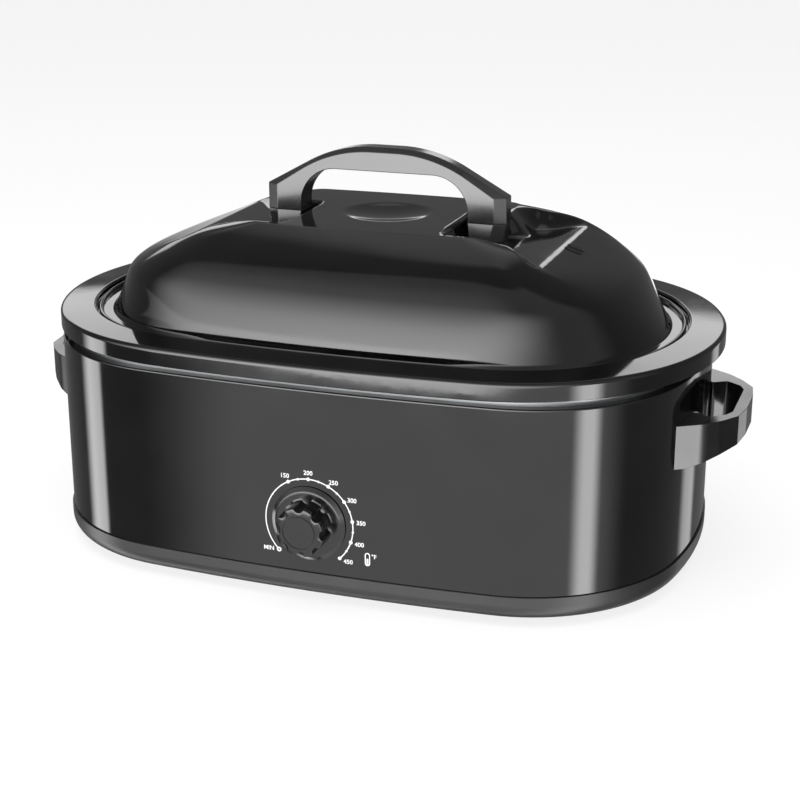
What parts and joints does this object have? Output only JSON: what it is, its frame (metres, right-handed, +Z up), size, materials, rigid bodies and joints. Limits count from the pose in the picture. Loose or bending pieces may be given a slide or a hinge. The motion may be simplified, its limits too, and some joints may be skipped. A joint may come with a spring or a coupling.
{
  "type": "electric roaster oven",
  "caption": "Oval countertop roaster oven with a domed lift-off lid, arched lid handle, end loop handles, lift-out pan, wire rack and a front control dial.",
  "frame": {"origin": "on the table, under the centre of the overall box", "axes": "+X along the long side, to the right as seen from the dial side; -Y towards the dial side; +Z up"},
  "size_m": [0.608, 0.4022, 0.3258],
  "materials": {
    "base_plastic": "fine matte moulding",
    "shell_enamel": "satin black enamel on steel",
    "well_steel": "bare formed steel",
    "shield_aluminium": "mill finish",
    "heater_steel": "flat band, heat tinted",
    "terminal_brass": "stamped tab",
    "glass_fibre": "pale woven fibre",
    "handle_plastic": "gloss black phenolic",
    "screw_steel": "zinc plated",
    "moulded_block": "brown moulding",
    "bracket_steel": "zinc plated",
    "capillary_copper": "drawn copper",
    "gland_plastic": "moulded nylon",
    "lead_sleeve": "braided sleeve",
    "foot_rubber": "soft black",
    "knob_plastic": "gloss black phenolic",
    "shaft_brass": "turned",
    "pan_enamel": "gloss black porcelain enamel",
    "lid_enamel": "gloss black porcelain enamel",
    "rack_chrome": "bright plated wire"
  },
  "bodies": {
    "base": {"base_tray": "base_plastic", "foot_front_left": "foot_rubber", "foot_rear_left": "foot_rubber", "foot_front_right": "foot_rubber", "foot_rear_right": "foot_rubber", "base_screws": "screw_steel", "outer_shell": "shell_enamel", "rear_panel": "shell_enamel", "well_liner": "well_steel", "well_posts": "well_steel", "heat_shield": "shield_aluminium", "heater_band": "heater_steel", "heater_terminals": "terminal_brass", "insulation_blanket": "glass_fibre", "side_handle_left": "handle_plastic", "side_handle_right": "handle_plastic", "side_handle_screws": "screw_steel", "thermostat_body": "moulded_block", "thermostat_bracket": "bracket_steel", "thermostat_nut": "screw_steel", "thermostat_bulb": "capillary_copper", "capillary_tube": "capillary_copper", "cord_gland": "gland_plastic", "terminal_block": "moulded_block", "supply_lead": "lead_sleeve", "switched_lead": "lead_sleeve", "return_lead": "lead_sleeve"},
    "dial": {"control_knob": "knob_plastic", "thermostat_shaft": "shaft_brass"},
    "insert_pan": {"insert_pan": "pan_enamel"},
    "rack": {"wire_rack": "rack_chrome"},
    "lid": {"lid_shell": "lid_enamel", "lid_crown": "lid_enamel", "lid_handle": "handle_plastic", "lid_handle_foot_left": "handle_plastic", "lid_handle_foot_right": "handle_plastic", "lid_screws": "screw_steel", "lid_washers": "screw_steel"}
  },
  "joints": [
    {"name": "dial_turn", "type": "hinge", "parent": "base", "child": "dial", "pos_m": [0, -0.1811, 0.066], "axis": [0, 1, 0], "range_deg": [0, 271]},
    {"name": "pan_lift", "type": "slide", "parent": "base", "child": "insert_pan", "axis": [0, 0, 1], "range_m": [0, 0.165]},
    {"name": "rack_lift", "type": "slide", "parent": "insert_pan", "child": "rack", "axis": [0, 0, 1], "range_m": [0, 0.147]},
    {"name": "lid_lift", "type": "slide", "parent": "insert_pan", "child": "lid", "axis": [0, 0, 1], "range_m": [0, 0.15]}
  ]
}
